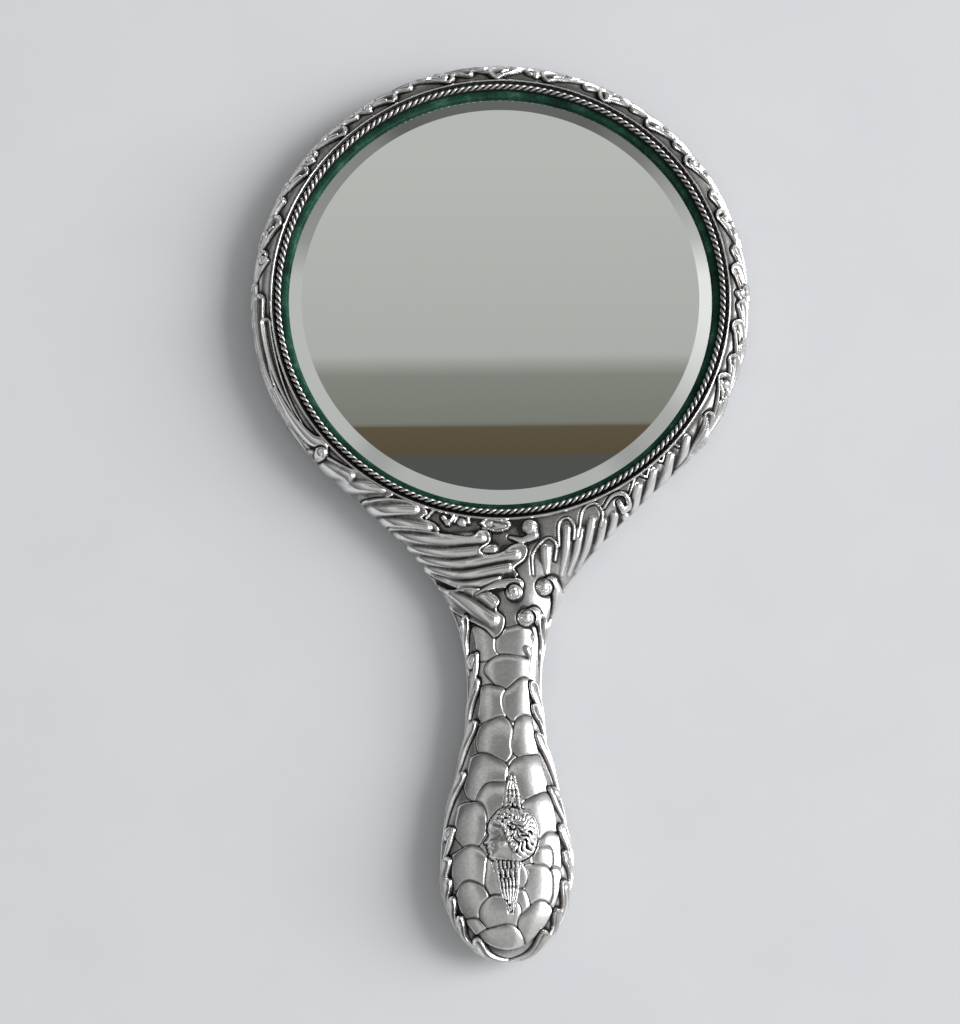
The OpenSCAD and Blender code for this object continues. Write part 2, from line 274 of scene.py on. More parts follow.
class Relief:
    # Height above the sheet, in millimetres, over the points of one chart of a surface

    def __init__(self, chart, height):
        self.p = np.stack(chart, -1)
        self.h = height

    def near(self, path, reach):
        low, high = path.min(0) - reach, path.max(0) + reach
        return np.flatnonzero(((self.p >= low) & (self.p <= high)).all(1))

    def lay(self, at, inner, profile, groove):
        # inner is how far a point is inside the ornament; it covers what is under it, and a groove
        # runs round it: h = mix(h, profile, cover) - groove * exp(-((inner + 0.22) / 0.18)^2)
        cover = smooth(inner / 0.3 + 0.5)
        h = self.h[at] * (1 - cover) + profile * cover
        self.h[at] = h - groove * np.exp(-((inner + 0.22) / 0.18)**2)

    def petal(self, points, base=0.35, tip=1.3, lift=0.55, roll=0.5, bend=1.0, groove=0.2, hollow=0.45):
        # Hollow leaf with a rolled edge and a round tip: the half width grows from base to tip,
        # the edge is a roll 0.3 mm inside the outline, and the middle is dished.
        path = curveThrough(points)
        at = self.near(path, tip + 1)
        d, t = nearest(self.p[at], path)
        width = base + (tip - base) * smooth(t / 0.85)**bend
        inner = width - d
        edge = np.exp(-((inner - 0.32) / 0.3)**2)
        dish = np.clip(inner / np.maximum(width, 0.4), 0, 1)
        body = lift * (0.45 + 0.55 * t) * (1 - hollow * dish**1.3)
        self.lay(at, inner, body + roll * edge * (0.35 + 0.65 * smooth(t / 0.6)), groove)

    def ridge(self, path, start=0.3, end=0.6, lift=0.9, groove=0.3):
        # Round wire: lift * sqrt(1 - (d / w)^2)
        at = self.near(path, max(start, end) + 1)
        d, t = nearest(self.p[at], path)
        width = start + (end - start) * t
        bulge = np.sqrt(np.clip(1 - (d / width)**2, 0, 1))
        self.lay(at, width - d, lift * (0.4 + 0.6 * t) * bulge + 0.15, groove)

    def boss(self, centre, r, lift=1.0, groove=0.3):
        # Flattened dome: lift * (1 - (d / r)^3)
        centre = np.asarray(centre, float)
        at = self.near(centre[None], r + 1)
        d = np.linalg.norm(self.p[at] - centre, axis=1)
        self.lay(at, r - d, lift * (1 - np.clip(d / r, 0, 1)**3) + 0.1, groove)

    def finger(self, points, base=0.5, tip=1.5, lift=0.8):
        # Broad flute with a round tip, added to what is there; neighbours leave a thin valley:
        # lift * (1 - 0.25 q^2) * exp(-1.2 q^4), with q = d / w
        path = curveThrough(points)
        at = self.near(path, tip * 2.0)
        d, t = nearest(self.p[at], path)
        q = np.minimum(d / (base + (tip - base) * smooth(t / 0.75)), 1.9)
        self.h[at] += (0.3 + 0.7 * smooth(t)) * lift * (1 - 0.25 * q**2) * np.exp(-1.2 * q**4)

    def plate(self, points, lift=0.45, rim=0.4, groove=0.3):
        # Leaf with a closed outline: a flat of height lift and a thin roll along its edge
        at = self.near(curveThrough(list(points) + [points[0]], 5 * len(points)), 1)
        inner = inside(self.p[at], points)
        self.lay(at, inner, lift + rim * np.exp(-((inner - 0.35) / 0.3)**2), groove)

    def volute(self, points, start=0.4, end=1.4, lift=1.2, ball=None, ballR=1.0):
        # Comma: a stem that grows along its path into a dome with a spiral cut in it
        if ball is None:
            self.ridge(curveThrough(points, 24), start, end, lift, 0.2)
            return
        ball = np.asarray(ball, float)
        stem = curveThrough(points, 24)
        self.ridge(np.concatenate([stem, ball[None]]), start, end, lift, 0.3)
        self.boss(ball, ballR, lift * 1.15, 0.08)
        t = np.linspace(0, 1, 24)
        a = math.atan2(stem[-1, 1] - ball[1], stem[-1, 0] - ball[0]) + 1.2 + 4.6 * t
        spiral = ball + ballR * (0.8 - 0.5 * t)[:, None] * onRound(a)
        self.cut(spiral, 0.3 * lift, 0.08 * ballR + 0.05)

    def cut(self, path, depth, width):
        # Engraved line: -depth * exp(-(d / width)^2)
        at = self.near(path, 1.0)
        d, _ = nearest(self.p[at], path)
        self.h[at] -= depth * np.exp(-(d / width)**2)

    def cell(self, centre, rx, ry, lift=0.42, groove=0.2):
        # Cloud scale: a rippled ellipse, highest just inside its upper edge and sinking to its foot
        centre = np.asarray(centre, float)
        at = self.near(centre[None], max(rx, ry) * 1.15 + 1)
        x, y = (self.p[at] - centre).T
        a = np.arctan2(y / ry, x / rx)
        phase = centre[0] * 1.7 + centre[1]
        q = np.hypot(x / rx, y / ry) / (1 + 0.055 * np.cos(3 * a + phase) + 0.03 * np.cos(5 * a + 2 * phase))
        rise = 0.35 + 0.65 * smooth((y / ry + 1) / 1.5)
        top = lift * rise * (1 - np.clip(q, 0, 1)**5)**0.6 + 0.16 * lift * (1 - np.clip(q, 0, 1)**2)
        inner = (1 - q) * min(rx, ry)
        cover = smooth(inner / 0.35 + 0.5)
        h = self.h[at] * (1 - cover) + top * cover
        self.h[at] = h - groove * np.exp(-((inner + 0.1) / 0.17)**2)


class Skin:
    # A grid over one part of a stamping, with one ghost row and column all round, and its charts:
    # plan (x, y), up from the seam, along from the handle's end and ring from the top of the head.

    def __init__(self, name, travel, rows, side, across=False):
        self.name, self.side = name, side
        travel, rows = np.meshgrid(withGhosts(travel), withGhosts(rows), indexing="ij")
        if across:  # rows run from 1 on the right edge to -1 on the left edge
            sign, s, v = np.where(rows >= 0, 1.0, -1.0), travel, 1 - np.abs(rows)
        else:
            sign, s, v = np.where(travel >= 0, 1.0, -1.0), np.abs(travel), rows
        p = skinPoint(sign, s, v, side)
        if not across:
            p[:, -1] = 2 * p[:, -2] - p[:, -3]
        self.p, self.s = p, s
        self.n = gridNormals(p) * side
        step = np.linalg.norm(np.diff(p, axis=1), axis=2)
        run = np.concatenate([np.zeros_like(step[:, :1]), np.cumsum(step, 1)], 1)
        self.up = run - run[:, 1:2]
        self.over = run[:, -2:-1] - run  # what is left to the rim
        if across:
            self.up = np.minimum(self.up, self.over)
            self.over = np.full_like(run, 99.0)
        table = np.linspace(0, 4, 4000)
        length = lineLength(outline(table))
        sign = np.where(s > 4, -sign, sign)
        run = np.interp(np.where(s > 4, 8 - s, s), table, length)
        self.ring, self.along = sign * run, sign * (length[-1] - run)
        self.h = np.zeros(s.shape)

    def relief(self, chart):
        self.flat = self.h.ravel()
        first, second = chart
        return Relief((first.ravel(), second.ravel()), self.flat)

    def finish(self, material, nodes, sink):
        # Points p + n (h - sink). Wear is high on crests and low in hollows:
        # 0.58 + 1.1 (h - h blurred over 3 cells) + 0.38 (h - h blurred over 12 cells)
        h = self.flat.reshape(self.h.shape) - sink
        h = h * smooth(self.up / 0.7) * smooth(self.over / 0.35)
        if self.side < 0:  # no crest reaches under the plane that the mirror lies on
            h = np.minimum(h, self.p[..., 2] - 0.02)
        p = self.p + self.n * h[..., None]
        n = gridNormals(p) * self.side
        lost = np.linalg.norm(n, axis=2) < 0.5
        n[lost] = np.roll(n, 1, axis=0)[lost]
        hollow = h - blurred(h, 3)
        broad = h - blurred(h, 12)
        wear = np.clip(0.58 + 1.1 * hollow + 0.38 * broad, 0, 1)[1:-1, 1:-1]
        p, n = p[1:-1, 1:-1], n[1:-1, 1:-1]
        join = {"right": 0, "left": -1}.get(self.name.split("_")[-1])
        if join is not None:  # a shoulder's finer rows end on the straight edges of the head's rows
            p[join, 1:-1:2] = 0.5 * (p[join, :-2:2] + p[join, 2::2])
        rows, columns = wear.shape
        faces = gridFaces(rows, columns, flip=self.side < 0)
        piece = buildMesh(self.name, p.reshape(-1, 3), faces, n, {"wear": wear}, material)
        seat(piece, nodes)
        print("piece", self.name, self.h.shape)


def stamping(word, side, headName):
    # Five grids: head, two shoulders, neck and grip. The head has every second row of the others,
    # and the rows of neck and grip run across the handle from the right edge to the left one.
    rowCount, headCount, shoulderCount, neckCount, gripCount = gridCounts[word]
    rows = evenRows(1.25, side, rowCount)
    fine = np.sort(np.concatenate([rows, 0.5 * (rows[1:] + rows[:-1])]))
    across = np.concatenate([1 - fine, fine[-2::-1] - 1])
    half, shoulder = evenStations(0, 1, headCount), evenStations(1, 1.5, shoulderCount)
    return [Skin(word + headName, np.concatenate([-half[:0:-1], half]), rows, side),
            Skin(word + "_shoulder_right", shoulder, fine, side),
            Skin(word + "_shoulder_left", -shoulder[::-1], fine, side),
            Skin(word + "_neck", evenStations(1.5, 2, neckCount), across, side, across=True),
            Skin(word + "_grip", evenStations(2, 4, gripCount), across, side, across=True)]


def srgb(code):  # sRGB hex to linear: ((c + 0.055) / 1.055)^2.4
    parts = [int(code[i:i + 2], 16) / 255 for i in (1, 3, 5)]
    return tuple(c / 12.92 if c <= 0.04045 else ((c + 0.055) / 1.055)**2.4 for c in parts) + (1.0,)


def addNode(tree, kind, inputs=None, stops=(), **settings):
    # a node with its settings, links and values, and a colour ramp's stops: each is a place and a
    # hex colour or a grey level
    node = tree.nodes.new(kind)
    for key, value in settings.items():
        setattr(node, key, value)
    for key, value in (inputs or {}).items():
        if isinstance(value, bpy.types.NodeSocket):
            tree.links.new(value, node.inputs[key])
        else:
            node.inputs[key].default_value = value
    if stops:
        band = node.color_ramp.elements
        while len(band) < len(stops):
            band.new(0.5)
        for element, (place, colour) in zip(band, stops):
            element.position = place
            element.color = srgb(colour) if isinstance(colour, str) else (colour, colour, colour, 1)
    return node


def newMaterial(name):  # the tree, and the shader that every link ends in
    material = bpy.data.materials.new(name)
    material.use_nodes = True
    tree = material.node_tree
    tree.nodes.clear()
    shader = addNode(tree, "ShaderNodeBsdfPrincipled")
    addNode(tree, "ShaderNodeOutputMaterial", {"Surface": shader.outputs[0]})
    return material, tree, shader


def mottle(tree, size, detail=3.0, roughness=0.55, stretch=None):
    # an uneven pattern over Object coordinates whose patches are about size millimetres wide
    place = addNode(tree, "ShaderNodeTexCoord").outputs["Object"]
    if stretch:
        place = addNode(tree, "ShaderNodeMapping", {"Vector": place, "Scale": stretch}).outputs[0]
    values = {"Vector": place, "Scale": 1 / (size * mm), "Detail": detail, "Roughness": roughness}
    return addNode(tree, "ShaderNodeTexNoise", values).outputs["Fac"]


def roughen(tree, shader, height, depth):  # relief over any that is there; depth in millimetres
    values = {"Height": height, "Distance": depth * mm, "Strength": 1.0}
    if shader.inputs["Normal"].is_linked:
        values["Normal"] = shader.inputs["Normal"].links[0].from_socket
    tree.links.new(addNode(tree, "ShaderNodeBump", values).outputs[0], shader.inputs["Normal"])


silverLook = {
    "dark": 0.2, "bright": 0.75, "grainPart": 0.3, "cloudPart": 0.22,
    "Base Color": [(0.0, "#3c3b3a"), (0.3, "#8c8a88"), (0.6, "#cfcecd"), (1.0, "#f6f5f4")],
    "Roughness": [(0.0, 0.46), (0.45, 0.27), (1.0, 0.15)],
}


def agedSilver():
    # Stamped sterling silver, polished on the crests and left oxidised in the hollows: bright
    # lines and knobs over dark grooves. Thin tarnish clouds and polishing scratches break the gloss:
    # worn = wear + grainPart (grain - 0.5) + cloudPart (clouds - 0.5), from dark to bright.
    material, tree, shader = newMaterial("sterling silver, stamped and oxidised")
    look = silverLook
    worn = addNode(tree, "ShaderNodeAttribute", attribute_name="wear").outputs["Fac"]
    for pattern, part in ((mottle(tree, 0.9, 4.0, 0.65), "grainPart"), (mottle(tree, 9.0), "cloudPart")):
        values = {0: pattern, 1: look[part], 2: worn}
        worn = addNode(tree, "ShaderNodeMath", values, operation="MULTIPLY_ADD").outputs[0]
    offset = 0.5 * (look["grainPart"] + look["cloudPart"])
    spread = {"Value": worn, "From Min": look["dark"] + offset, "From Max": look["bright"] + offset}
    clean = addNode(tree, "ShaderNodeMapRange", spread).outputs[0]
    for name in ("Base Color", "Roughness"):
        band = addNode(tree, "ShaderNodeValToRGB", {"Fac": clean}, look[name])
        tree.links.new(band.outputs["Color"], shader.inputs[name])
    shader.inputs["Metallic"].default_value = 1.0
    roughen(tree, shader, mottle(tree, 2.6, 2.0), 0.05)
    roughen(tree, shader, mottle(tree, 0.35, 3.0, 0.6, (1.0, 0.35, 1.0)), 0.006)
    return material


def plainSurface(name, light, dark, size, rough, stretch=None, depth=0.05, metallic=0.0):
    # Two close shades of a base colour in a mottle of the given size, which is the relief as well
    material, tree, shader = newMaterial(name)
    grain = mottle(tree, size, 4.0, 0.6, stretch)
    stops = {"Base Color": [(0.3, dark), (0.7, light)], "Roughness": [(0.3, rough), (0.7, rough * 0.8)]}
    for name in stops:
        band = addNode(tree, "ShaderNodeValToRGB", {"Fac": grain}, stops[name])
        tree.links.new(band.outputs["Color"], shader.inputs[name])
    shader.inputs["Metallic"].default_value = metallic
    roughen(tree, shader, grain, depth)
    return material


silver = agedSilver()
print("materials: silver")

# Rows up the side, stations round the head, down a shoulder, down the neck and round the grip
gridCounts = {"front": (60, 560, 150, 210, 380), "back": (88, 430, 90, 120, 240)}
fronts = stamping("front", 1, "_border")
print("front grids", sum(skin.h.size for skin in fronts))

# The neck in plan millimetres. Leaves are outlines, fingers run from root to tip with the half
# width at the tip, curls run from thin to thick, and later ones lie over earlier ones.
neckLeaves = {
    "far left": [(-60, -44), (-52, -47), (-44, -51.5), (-38, -53), (-33, -56), (-31, -59), (-34, -61),
                 (-40, -61.5), (-46, -60)],
    "upper left": [(-43, -61), (-35, -60.5), (-28.5, -61), (-23, -63), (-21.5, -65.2), (-23, -66.5),
                   (-19.5, -68), (-18.5, -70.5), (-25, -72.5), (-35, -70.5)],
    "left": [(-36, -68), (-25, -69.5), (-14, -71.5), (-9, -72), (-7, -70.2), (-4.3, -70.3), (-3.6, -73.5),
             (-6.5, -76.2), (-4, -77.5), (-0.5, -76.6), (2.5, -74.6), (5.5, -74), (7, -76), (6, -79),
             (3.2, -81.3), (4.2, -83.4), (1, -85.8), (-4.5, -87), (-11, -87.6), (-19, -83.5), (-29, -76)],
    "lower left": [(-21, -84), (-15.5, -86.7), (-10, -86.6), (-5, -87.6), (-1.2, -90.3), (-2, -93.2),
                   (0.2, -95.6), (-0.4, -99.2), (-2.8, -101.2), (-5.5, -98.6), (-10.5, -95.8), (-16.5, -91)],
    "middle": [(-7, -68.2), (-4.5, -66.6), (-1.5, -67), (1.8, -67.6), (1.6, -69.8), (-1.5, -70.8),
               (-4.5, -70)],
}
neckFingers = {
    "far left": [([(-60, -46), (-52, -50.5), (-44, -54)], 1.6),
                 ([(-56, -50.5), (-46, -56), (-35, -57.5)], 1.7)],
    "upper left": [([(-46, -60), (-38, -63.5), (-25.5, -64)], 1.5),
                   ([(-42, -65), (-32, -67.5), (-22, -69.5)], 1.6)],
    "left": [([(-35, -69.5), (-22.5, -72.6), (-6.6, -72.4)], 1.7),
             ([(-30, -74), (-17, -76.6), (-3, -75.8)], 1.5), ([(-27, -77), (-14, -79.8), (3.2, -77.4)], 1.5),
             ([(-24, -80), (-12, -83), (1.2, -81.2)], 1.5), ([(-20, -83), (-11, -85.8), (-1.5, -84.8)], 1.2)],
    "lower left": [([(-18, -86.2), (-10.5, -91), (-3.6, -96)], 2.1),
                   ([(-13, -86.6), (-7, -88.6), (-3.2, -91.4)], 1.6)],
    "middle": [],
    "right": [([(12.5, -82.5), (12.3, -79), (12.2, -75.8)], 1.4),
              ([(16.8, -83), (18, -76.5), (18.4, -70)], 1.2), ([(19, -82.5), (21, -77), (22, -70.5)], 1.2),
              ([(21.5, -82), (24, -75.5), (25.6, -67.5)], 1.3),
              ([(24.5, -80.5), (27.5, -74.5), (29, -68)], 1.2),
              ([(27, -77.5), (31, -71.5), (32.3, -66)], 1.2), ([(30.5, -75), (34.5, -70.5), (36, -66)], 1.1),
              ([(33, -71), (37.5, -64.5), (39, -58)], 1.5),
              ([(37.5, -66.5), (42, -60), (43.5, -53.5)], 1.3), ([(42, -62), (47, -55.5), (48.5, -49)], 1.4),
              ([(47, -58), (52, -50.5), (53.5, -43.5)], 1.3), ([(52, -53), (57, -45), (58.5, -38)], 1.3)],
    "waist": [([(-10, -108), (-10.5, -102), (-12, -97.5)], 0.9), ([(13, -112), (12, -106), (9, -101)], 1.2),
              ([(10.5, -114), (8.5, -108.5), (6.5, -104.5)], 0.9)],
}
neckCurls = [  # path, half width at its start and end, height, ball, radius of the ball
    ([(8.5, -83), (8.6, -77), (12.5, -72.6), (15.2, -74.4), (14.8, -79)], 0.3, 0.35, 0.55),
    ([(16, -75), (16, -68.5), (18.5, -66.8), (20.3, -69), (20.2, -73)], 0.3, 0.35, 0.55),
    ([(21.8, -72), (22.8, -64.8), (26.5, -62.6), (28.6, -65.5), (28, -69)], 0.3, 0.35, 0.55),
    ([(29, -64), (31.5, -60.5), (35, -60), (36.5, -62.8), (34.6, -64.6)], 0.4, 1.0, 0.9, (33.6, -62.4), 0.8),
    ([(36.5, -60), (38.5, -54.5), (41.5, -55)], 0.3, 0.4, 0.55),
    ([(41.5, -55), (43, -50), (46, -50.5)], 0.3, 0.4, 0.55),
    ([(46, -50.5), (48, -45), (51, -46)], 0.3, 0.4, 0.55),
    ([(-22, -66.5), (-19.5, -64), (-16.2, -63.6), (-14.2, -66), (-15.8, -68.2)], 0.4, 0.8, 0.8,
     (-17, -66.3), 0.9),
    ([(-14, -67.8), (-12.6, -65.6), (-10.3, -66), (-9.8, -68)], 0.3, 0.5, 0.6, (-11.8, -67.8), 1.4),
    ([(-6, -69.6), (-3, -69.6), (0.6, -69)], 0.3, 0.6, 0.5, (-3.8, -68.2), 1.2),
    ([(2, -72.4), (5.5, -73.2), (8.8, -71.8)], 0.5, 1.8, 1.3, (7.6, -69.4), 2.3),
    ([(-8, -88.6), (-3.5, -86.6), (0.5, -85.7), (4, -86)], 0.4, 2.2, 1.5, (3.0, -88.2), 2.6),
    ([(12.4, -113), (12.8, -105), (11.8, -98.5), (8.8, -94.2)], 0.5, 2.2, 1.5, (6.4, -95.6), 2.7),
    ([(13.2, -100), (15.4, -93), (15.4, -88), (13.8, -85.2)], 0.5, 2.2, 1.5, (11.8, -86.6), 2.6),
    ([(-66, -27), (-61, -36), (-55.5, -42.5), (-51.5, -44.2)], 0.4, 2.0, 1.2, (-52.4, -47.0), 2.3),
]
# Cloud scales of the grip: centre and half sizes, from the neck down
cloudCells = [
    (-5.5, -102.5, 6, 5.5), (3.5, -103, 6, 5.5), (1.5, -110.8, 7.2, 5), (-4, -120.5, 5.2, 6.2),
    (5.2, -119.5, 5.8, 6.5), (-2.6, -130.5, 5.8, 6.6), (6.6, -130, 5, 6.6), (-6.2, -141, 7, 7),
    (7.6, -141, 7, 6.8), (-2.5, -148.5, 5.8, 6.6), (-10.4, -154.2, 5.2, 6.8), (10, -152, 5.8, 6.6),
    (1, -158, 6, 6), (13.4, -162.5, 4.8, 6.4), (10.3, -164.2, 2.8, 4), (-11, -167, 7, 6.6),
    (14, -173, 4, 6.4), (7.6, -172, 5.6, 7), (-0.5, -168.5, 6, 7), (-10, -176.5, 5.6, 6.4),
    (3.3, -178.5, 3.4, 6), (-2, -180, 5.8, 6.4), (9, -182.5, 5.8, 6.6), (-9.6, -184.5, 4, 4.4),
    (-2, -188, 7.2, 6),
]

# Cherub: a small head in profile with curly hair between two wings, in millimetres round the
# middle of the head. The face is a plain classical one: eye at half height, nose and mouth at thirds.
cherub = {
    "middle": (0.9, -157.3), "cell": 0.105, "low": (-8.6, -180.0), "high": (9.6, -139.6), "dome": 2.1,
    "outline": [(-4.9, 4.6), (-5.8, 2.8), (-6.0, 1.0), (-5.7, 0.0), (-6.4, -1.3), (-7.1, -2.3), (-6.1, -2.9),
                (-6.35, -3.5), (-5.95, -4.0), (-6.1, -4.6), (-5.6, -5.2), (-5.8, -6.0), (-4.9, -6.9),
                (-3.0, -7.1), (-0.5, -7.4), (3.0, -7.3), (6.0, -5.6), (7.5, -2.4), (7.6, 1.2), (6.6, 4.4),
                (4.2, 6.8), (1.0, 7.7), (-2.2, 7.2)],
    "hairline": [(-7.4, 5.0), (-6.2, 3.4), (-4.4, 2.9), (-2.8, 2.3), (-1.7, 1.0), (-1.2, -0.8),
                 (-0.3, -2.8), (0.6, -5.0), (1.6, -8.5), (9, -9), (9.5, 9), (-5, 9)],
    "crown": (1.0, 1.8), "locks": 25, "seed": 4, "brow": 9,  # the hairline's points before the nape
    "curlRows": [(3.4, 20), (2.1, 20), (0.8, 36)],  # depth behind the hairline and last station
    # root, tip, half width and number of long feathers
    "wings": [((-0.2, -162.8), (1.2, -178.4), 3.6, 6), ((1.9, -151.5), (1.5, -140.6), 2.3, 4)],
    "featherRows": (0.3, 0.14, -0.02),
}
# Soft swellings and hollows of the face: centre, half sizes, height
cherubFace = {
    "cheek": (-2.6, -3.0, 1.9, 1.8, 0.55), "chin": (-5.2, -6.0, 0.9, 0.8, 0.35),
    "brow": (-4.3, 1.5, 1.3, 0.6, 0.3), "eye socket": (-4.2, 0.1, 1.2, 0.7, -0.55),
    "eye": (-4.3, -0.05, 0.55, 0.36, 0.45),
    "nose": (-5.9, -1.9, 0.6, 0.9, 0.35), "nose wing": (-5.3, -2.45, 0.45, 0.4, 0.25),
    "nostril": (-4.7, -2.9, 0.35, 0.4, -0.15), "upper lip": (-5.5, -3.45, 0.8, 0.3, 0.25),
    "lower lip": (-5.4, -4.5, 0.7, 0.35, 0.25), "mouth": (-5.2, -3.98, 0.9, 0.16, -0.25),
}
cherubLids = [  # path, half width at its start and end, height
    ([(-3.1, 0.05), (-4.1, 0.5), (-5.0, 0.15)], 0.12, 0.18, 0.3),
    ([(-3.3, -0.2), (-4.2, -0.45), (-4.9, -0.15)], 0.1, 0.14, 0.2),
    ([(-2.6, 1.3), (-4.0, 1.75), (-5.4, 1.1)], 0.2, 0.3, 0.2),
]

seamLine = outline(np.linspace(1, 4, 3000))


def alongAt(y):  # distance along the seam from the handle's end to the height y
    run = lineLength(seamLine)
    return float(np.interp(-y, -seamLine[:, 1], run[-1] - run))


def carveOrnament(skin, mirror, keys, root, lift):
    # Scales, leaves, fingers and curls in plan; mirror is 1, or -1 to swap left and right
    plan = skin.relief((skin.p[..., 0], skin.p[..., 1]))
    turned = (mirror, 1)
    for x, y, rx, ry in cloudCells:
        plan.cell((mirror * x, y), rx, ry)
    for key in keys:
        if key in neckLeaves:
            plan.plate(np.multiply(neckLeaves[key], turned))
        for points, tip in neckFingers[key]:
            plan.finger(np.multiply(points, turned), root, tip, lift)
    for points, start, end, height, *knob in neckCurls:
        if knob:
            knob[0] = np.multiply(knob[0], turned)
        plan.volute(np.multiply(points, turned), start, end, height, *knob)


def carveNeck(skin):
    carveOrnament(skin, 1, list(neckFingers), 0.6, 0.95)
    if skin.name == "front_grip":  # a channel round the head and the wings
        plan = skin.relief((skin.p[..., 0], skin.p[..., 1]))
        for root, tip, half, _ in cherub["wings"]:
            plan.ridge(np.array([root, tip]), half + 0.5, 0.5, -0.5, 0.4)
        plan.plate(np.add(cherub["outline"], cherub["middle"]), -0.3, 0.0, 0.6)


# Blades along the handle's edges: each head's distance below the centre of the mirror's head, and
# its size; knobs are distance and side. The sheet is clear of scales up to the blades' reach.
edgeBlades = {
    "right": [(98, 0.8), (116.5, 1), (122.5, 0.6), (131, 1), (156, 1), (163, 0.7), (172, 1), (180, 0.7),
              (186.5, 0.9)],
    "left": [(98, 0.8), (115.5, 1), (127.5, 1), (141.5, 1), (165, 1), (171, 0.7), (176.5, 0.8), (182, 0.7),
             (188.5, 0.9)],
    "length": 17.0, "reach": 6.8, "half": 1.6, "knobs": [(146, 1), (109, -1), (157, -1)],
}


def carveEdges(skin):
    if skin.s.max() < 1.6:
        return
    look = edgeBlades
    edge = skin.relief((skin.along, skin.up))
    clear = smooth((skin.up.ravel() - look["reach"] + 0.6) / 1.0)
    skin.flat[:] = np.where((skin.s > 1.75).ravel(), skin.flat * clear, skin.flat)
    for sign, heads in ((1, look["right"]), (-1, look["left"])):
        for y, size in heads:  # from the neck down, so that each head lies over the tail above it
            head = alongAt(-y)
            tail = max(head - look["length"] * size, -3)
            path = [(sign * tail, 1.6), (sign * (0.4 * tail + 0.6 * head), 2.6),
                    (sign * (head - 1.6), look["reach"] - 2.0), (sign * head, look["reach"] - 1.6)]
            edge.petal(path, 0.3, look["half"] * (0.4 + 0.6 * size), 1.0, 0.4, 0.7, 0.3, 0.55)
    for y, sign in look["knobs"]:
        at = sign * alongAt(-y)
        stem = [(at - sign * 10, 1.6), (at - sign * 4, 5.0), (at + sign * 0.5, 6.0)]
        edge.volute(stem, 0.4, 1.4, 1.1, (at + sign * 0.4, 4.0), 2.1)


borderLook = {
    "seed": 11, "step": 6.0, "length": 18.0, "slant": 4.8, "curl": 27.0,
    "lanes": [(7.2, 2.3), (3.7, 2.2), (6.2, 1.8)],  # height of a leaf's tip over the seam and its half width
    "first": -3.0, "last": 158.0, "lastLeft": 104.0,  # distances from the top of the head
    "flutes": [([(-168, 1.4), (-142, 2.0), (-110, 3.4)], 1.5),
               ([(-163, 3.6), (-142, 4.9), (-114.5, 6.4)], 2.0),
               ([(-158, 7.4), (-142, 8.0), (-122, 8.3)], 1.5)],
    "bead": 0.35,
}


def carveBorder(skin, seed=None):
    # Hollow acanthus leaves that lie over each other like scales, their looped tips toward the top
    # of the head, with a rib in each and a curl now and then. The front's left side ends in flutes.
    ring = skin.relief((skin.ring, skin.up))
    look = borderLook
    picks = np.random.default_rng(look["seed"] if seed is None else seed)
    for sign in (-1, 1):
        at, k, curl = look["first"], 0, 8.0
        while at < (look["lastLeft"] if sign < 0 and seed is None else look["last"]):
            lane, half = look["lanes"][k % 3]
            lane, half = lane + picks.uniform(-0.4, 0.4), half * picks.uniform(0.85, 1.15)
            tail = at + look["length"] * picks.uniform(0.85, 1.2)
            stem = [(sign * tail, max(lane - look["slant"], 0.5)), (sign * (at + 6), lane - 1.5)]
            ring.petal(stem + [(sign * (at + half), lane)], 0.5, half, 0.75, 0.75, 1.0, 0.3, 0.92)
            ring.ridge(curveThrough(stem + [(sign * (at + half + 1.6), lane)]), 0.25, 0.32, 0.75, 0.1)
            if at > curl:
                stem = [(sign * (at + 11), 2.2), (sign * (at + 6.5), 5.6), (sign * (at + 3.4), 7.6)]
                ring.volute(stem, 0.3, 1.1, 1.0, (sign * (at + 3.2), 6.0), 1.7)
                curl += look["curl"] * picks.uniform(0.8, 1.2)
            at += look["step"] * picks.uniform(0.85, 1.15)
            k += 1
    if seed is None:
        for points, half in look["flutes"]:
            ring.petal(points, 0.6, half, 0.8, 0.7, 1.0, 0.2, 0.95)
    skin.flat += (look["bead"] * np.exp(-((skin.up - 0.6) / 0.35)**2)).ravel()


for skin in fronts:
    if skin.s.min() < 1.4:
        carveBorder(skin)
    carveNeck(skin)
    carveEdges(skin)
    skin.finish(silver, ["front_shell"], 0.6)


def lathe(name, profile, count, material, nodes, closed=True, wear=None, flip=True):
    # profile points (r, z) turned about Z; sharp corners are doubled points in the profile
    profile = np.asarray(profile, float)
    a = np.linspace(0, 2 * math.pi, count, endpoint=False)
    r, z = profile[:, 0], profile[:, 1]
    p = np.stack([r[None] * np.sin(a)[:, None], r[None] * np.cos(a)[:, None],
                  np.broadcast_to(z, (count, len(z)))], -1)
    faces = gridFaces(count, len(z), wrapRows=True, wrapColumns=closed, flip=flip)
    values = {} if wear is None else {"wear": np.broadcast_to(np.asarray(wear, float), (count, len(z)))}
    piece = buildMesh(name, p.reshape(-1, 3), faces, None, values, material)
    seat(piece, nodes)


def skinHeight(x, y):  # the grip's surface: seam + rise * (1 - (|x| / half)^p)^(1 / p)
    f = form
    table = np.linspace(2, 4, 1500)
    edge = outline(table)
    half = np.interp(-y, -edge[:, 1], edge[:, 0])
    share = math.sqrt(1 - f["crownPast"]**2)
    seam, power = f["seamZ"], f["frontPower"]
    levels = (f["rimZ"], seam + f["waistRise"], seam + f["bulbRise"], seam + f["bulbRise"] * share)
    middle = np.interp(-y, -crown(table, 1.0)[:, 1], crownHeight(table, levels))
    across = np.clip(np.abs(x) / half, 0, 1)
    return seam + (middle - seam) * (1 - across**power)**(1 / power)


